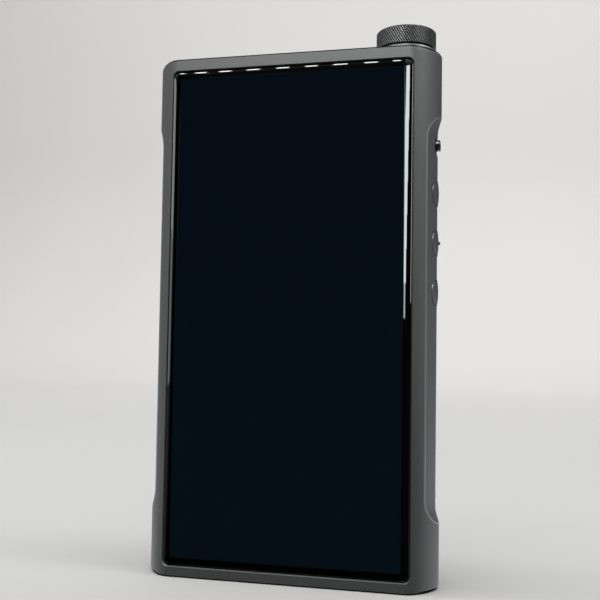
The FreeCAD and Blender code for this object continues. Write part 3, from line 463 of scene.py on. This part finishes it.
def knurled_knob():
    """The knob with its knurl cut into the mesh: deep grooves one way, shallow ones across."""
    low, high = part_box("volume_knob")
    centre_x, centre_y = (low.x + high.x) / 2, (low.y + high.y) / 2
    outer = (high.x - low.x) / 2
    bottom, top = low.z, high.z
    columns = KNURL_STARTS * KNURL_COLUMNS
    pitch = TURN * outer / KNURL_STARTS
    knurl_low, knurl_high = bottom + KNOB_CHAMFER, top - KNOB_CHAMFER
    steps = round((knurl_high - knurl_low) / (pitch / KNURL_COLUMNS))
    face_radius = outer - KNOB_CHAMFER - 0.10 * MM
    chamfer_radius = outer - KNOB_CHAMFER
    root_radius = outer - 0.19 * MM

    # rows of the lathe outline, from the hollow underside outwards and up: z, radius, knurled
    rows = [
        (bottom + HOLLOW_DEPTH, 3.2 * MM, False),
        (bottom + HOLLOW_DEPTH, 6.2 * MM, False),
        (bottom + 1.9 * MM, HOLLOW_RADIUS, False),
        (bottom, HOLLOW_RADIUS, False),
        (bottom, face_radius, False),
        (bottom + 0.03 * MM, chamfer_radius, False),
        (knurl_low - 0.16 * MM, root_radius, False),
    ]
    band_start = len(rows) - 1
    rows += [(knurl_low + (knurl_high - knurl_low) * i / steps, outer, True)
             for i in range(steps + 1)]
    band_end = len(rows)
    rows += [
        (knurl_high + 0.16 * MM, root_radius, False),
        (top - 0.03 * MM, chamfer_radius, False),
        (top, face_radius, False),
    ]
    rows += [(top + height * MM, radius * MM, False) for radius, height in TOP_DISH]

    verts = []
    for z, row_radius, knurled in rows:
        for j in range(columns):
            angle = TURN * j / columns
            radius = row_radius
            if knurled:
                turn = angle / TURN * KNURL_STARTS
                radius -= knurl_depth(turn, (z - knurl_low) * KNURL_LEAN / pitch)
            verts.append((centre_x + radius * math.cos(angle),
                          centre_y + radius * math.sin(angle), z))
    faces = []
    last_row = len(rows) - 1
    for i in range(last_row):
        here, above = i * columns, (i + 1) * columns
        for j in range(columns):
            k = (j + 1) % columns
            faces.append((here + j, here + k, above + k, above + j))

    # fans close the top and the roof of the hollow
    top_centre, hollow_centre = len(verts), len(verts) + 1
    verts.append((centre_x, centre_y, rows[-1][0]))
    verts.append((centre_x, centre_y, rows[0][0]))
    for j in range(columns):
        k = (j + 1) % columns
        faces.append((last_row * columns + j, last_row * columns + k, top_centre))
        faces.append((k, j, hollow_centre))

    knob = add_mesh("knurled_knob", verts, faces)
    # flat facets on the knurl, smooth everywhere else
    for i, face in enumerate(knob.data.polygons):
        face.use_smooth = not band_start <= i // columns < band_end
    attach(knob, "knob")
    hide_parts("volume_knob")
    return knob


knob = dress(knurled_knob(), knob_metal())


# ---------------------------------------------------------------------------- backdrop
def sweep_floor():
    """A pale floor that turns up into a wall far behind the player."""
    half_width, front_y, bend_y, bend, wall_top = 3.0, -1.6, 1.1, 0.5, 2.4
    profile = [(front_y, 0.0)]      # y, z
    for degrees in range(0, 91, 6):
        angle = math.radians(degrees)
        profile.append((bend_y + bend * math.sin(angle), bend - bend * math.cos(angle)))
    profile.append((bend_y + bend, wall_top))
    verts = [(x, y, z) for y, z in profile for x in (-half_width, half_width)]
    faces = [(2 * i, 2 * i + 1, 2 * i + 3, 2 * i + 2) for i in range(len(profile) - 1)]
    sweep = add_mesh("studio_floor", verts, faces)
    for face in sweep.data.polygons:
        face.use_smooth = True
    dress(sweep, studio_paper())
    sweep.visible_glossy = False
    return sweep


floor = sweep_floor()


# ---------------------------------------------------------------------------- world
def studio_world():
    """A dark room in front, a bright ceiling, and a pale glow low down behind and beside."""
    world = bpy.data.worlds.new("studio_world")
    bpy.context.scene.world = world
    world.use_nodes = True
    k = Nodes(world.node_tree)
    background = k.tree.nodes["Background"]
    x, y, z = k.separate(k.node("TexCoord", {})["Generated"])
    ceiling = k.ramp(z, span=(0.25, 1.0), to=(0.0, 0.87))
    back = k.ramp(y, span=(-0.25, 0.9), to=(0.0, 0.13))
    table = k.mul(k.ramp(z, span=(0.08, -0.30)), k.ramp(y, span=(-0.45, 0.55)))
    left = k.mul(k.ramp(x, span=(-0.62, -0.9), to=(0.0, 0.24)), k.ramp(z, span=(-0.30, 0.0)))
    room_glow = 0.021
    total = k.add(k.add(k.add(ceiling, back), k.add(table, left)), room_glow)
    k.put(background.inputs[1], total)
    k.put(background.inputs[0], (0.97, 0.985, 1.0))


studio_world()
bpy.context.scene.view_settings.view_transform = "Standard"


# ---------------------------------------------------------------------------- lights
# turns a light to face +Y, with its height along Z
FACING_BACK = Matrix(((1, 0, 0), (0, 0, -1), (0, 1, 0))).to_quaternion()


def aim(place, target):
    return (Vector(place) - Vector(target)).to_track_quat("Z", "Y")


def area(name, place, rotation, size, watts, receivers, color=(1, 1, 1)):
    """A rectangular light that the camera can't see and only the receivers take in."""
    data = bpy.data.lights.new(name, "AREA")
    data.shape = "RECTANGLE"
    data.size, data.size_y = size
    data.energy = watts
    data.color = color
    data.spread = math.radians(180.0)
    light = bpy.data.objects.new(name, data)
    bpy.context.scene.collection.objects.link(light)
    light.location = place
    light.rotation_mode = "QUATERNION"
    light.rotation_quaternion = rotation
    light.visible_camera = False
    light.light_linking.receiver_collection = receivers
    return light


def only(name, *objects):
    """A light-linking collection that takes in these objects alone."""
    group = bpy.data.collections.new(name)
    for obj in objects:
        group.objects.link(obj)
    return group


def all_but(name, *objects):
    """A light-linking collection that leaves these objects out."""
    group = only(name, *objects)
    for entry in group.collection_objects:
        entry.light_linking.link_state = "EXCLUDE"
    return group


glass = NODES["front_glass"]
body_only = all_but("not_glass_paper_knob", glass, floor, knob)
BODY_LIGHTS = (                     # name, place, target, size, watts
    ("soft_top", (-0.02, -0.40, 0.93), (0, 0, 0.09), (0.42, 0.4), 6.75),
    ("soft_top_left", (-0.28, -0.35, 0.75), (0, 0, 0.09), (0.4, 0.4), 3.65),
    ("soft_top_near", (0.02, -0.30, 0.48), (0, 0, 0.13), (0.25, 0.25), 0.78),
    ("soft_right_high", (0.70, -0.25, 0.60), (0, 0, 0.12), (0.4, 0.4), 1.36),
    ("soft_left_low", (-0.7, -0.5, 0.05), (0, 0, 0.05), (0.4, 0.3), 0.38),
    ("soft_right", (0.8, -0.1, 0.30), (0, 0, 0.07), (0.5, 0.6), 0.14),
    ("soft_right_back", (0.8, 0.15, 0.15), (0, 0, 0.06), (0.4, 0.5), 0.24),
)
for name, place, target, size, watts in BODY_LIGHTS:
    area(name, place, aim(place, target), size, watts, body_only)

# panels for the knob alone, which light its knurl in bands with a dark strip between them
PANEL_DISTANCE = 0.8                # level distance of the knob and glass panels
knob_only = only("knob_only", knob)
KNOB_LIGHTS = (                     # name, degrees from -Y towards +X, width, watts
    ("knob_left_near", -9.0, 0.16, 1.4),
    ("knob_left", -40.0, 0.72, 1.5),
    ("knob_right", 62.0, 0.56, 1.2),
)
for name, degrees, width, watts in KNOB_LIGHTS:
    angle = math.radians(degrees)
    place = (KNOB_X + PANEL_DISTANCE * math.sin(angle), -PANEL_DISTANCE * math.cos(angle), 0.42)
    area(name, place, aim(place, (KNOB_X, 0, 0.1455)), (width, 0.36), watts, knob_only)

paper_only = only("paper_only", floor)
PAPER_LIGHTS = (                    # name, place, target, size, watts
    ("wall_wash", (0.0, -0.1, 1.5), (0.0, 1.6, 0.35), (2.4, 0.6), 29.5),
    ("table_wash", (-0.1, -0.35, 1.0), (0, 0.2, 0.0), (1.1, 0.9), 4.2),
)
for name, place, target, size, watts in PAPER_LIGHTS:
    area(name, place, aim(place, target), size, watts, paper_only)

# reflections in the cover glass
GLASS_Y = -0.009
glass_only = only("glass_only", glass)


def glass_light(name, place, rotation, size, watts, color=(1, 1, 1)):
    light = area(name, place, rotation, size, watts, glass_only, color)
    light.visible_diffuse = False


# a tall leaning panel in front, mostly to the right, built up in level strips
STRIP_HEIGHT = 0.04
for i in range(9):
    z = 0.12 + STRIP_HEIGHT * i
    rise = (z - 0.117) / 0.243
    left, right = max(-0.045, -0.095 + 0.1125 * rise), 0.130 + 0.225 * rise
    width = right - left
    watts_per_area = 22.0 if i == 0 else 42.0
    glass_light("glass_right_%d" % i, ((left + right) / 2, -PANEL_DISTANCE, z), FACING_BACK,
                (width, STRIP_HEIGHT), watts_per_area * width * STRIP_HEIGHT, (0.90, 1.0, 0.96))

# broad panels to either side, seen only in the outermost curve of the glass
SIDE_PANELS = (         # name, X of target, degrees from -Y towards -X, height, size, watts
    ("glass_left_a", -0.033, 82.0, 0.30, (0.95, 0.20), 1.7),
    ("glass_left_b", -0.033, 82.0, 0.11, (0.95, 0.18), 0.7),
    ("glass_right_side", 0.033, -100.0, 0.27, (0.75, 0.30), 5.2),
)
for name, edge_x, degrees, z, size, watts in SIDE_PANELS:
    angle = math.radians(degrees)
    place = (edge_x - PANEL_DISTANCE * math.sin(angle),
             GLASS_Y - PANEL_DISTANCE * math.cos(angle), z)
    glass_light(name, place, aim(place, (edge_x, GLASS_Y, z)), size, watts, (0.92, 0.97, 1.0))

# a row of tube lamps high in front, a broken line in the top edge of the glass
TUBE_TILT = math.radians(70.0)
TUBE_DISTANCE = 0.9
TUBE_TARGET_Z = 0.138
VIEW_X, VIEW_DISTANCE = 61.5, 245.0  # viewpoint that the reflections are worked out for, mm
TUBES = (                           # X of the reflection in the glass in mm, width in metres
    (-30.8, 0.006), (-25.2, 0.015), (-18.2, 0.015), (-10.35, 0.016), (-2.0, 0.016),
    (5.9, 0.015), (13.75, 0.017), (21.9, 0.016), (28.85, 0.010), (32.4, 0.007),
)
for i, (glass_x, width) in enumerate(TUBES):
    slope = (VIEW_X - glass_x) / VIEW_DISTANCE
    place = (glass_x * MM - slope * TUBE_DISTANCE,
             GLASS_Y - TUBE_DISTANCE * math.cos(TUBE_TILT),
             TUBE_TARGET_Z + TUBE_DISTANCE * math.sin(TUBE_TILT))
    glass_light("glass_row_%d" % i, place, aim(place, (place[0], GLASS_Y, TUBE_TARGET_Z)),
                (width, 0.30), 1.3 * width / 0.012)


# ---------------------------------------------------------------------------- camera
def add_camera():
    """Looks along +Y from the front, turned towards -X and slightly up."""
    heading, pitch, roll = -0.24199, 0.05591, 0.01546       # radians
    data = bpy.data.cameras.new("camera")
    camera = bpy.data.objects.new("camera", data)
    bpy.context.scene.collection.objects.link(camera)
    data.sensor_width = 36.0
    data.lens = 54.4986
    data.clip_start = 0.01
    data.clip_end = 50.0
    forward = Vector((math.sin(heading) * math.cos(pitch),
                      math.cos(heading) * math.cos(pitch), math.sin(pitch)))
    level = Vector((math.cos(heading), -math.sin(heading), 0.0))
    above = level.cross(forward)
    right = level * math.cos(roll) + above * math.sin(roll)
    up = -level * math.sin(roll) + above * math.cos(roll)
    pose = Matrix((right, up, -forward)).transposed().to_4x4()
    pose.translation = Vector((61.495 * MM, -242.613 * MM, 61.427 * MM))
    camera.matrix_world = pose
    bpy.context.scene.camera = camera


add_camera()
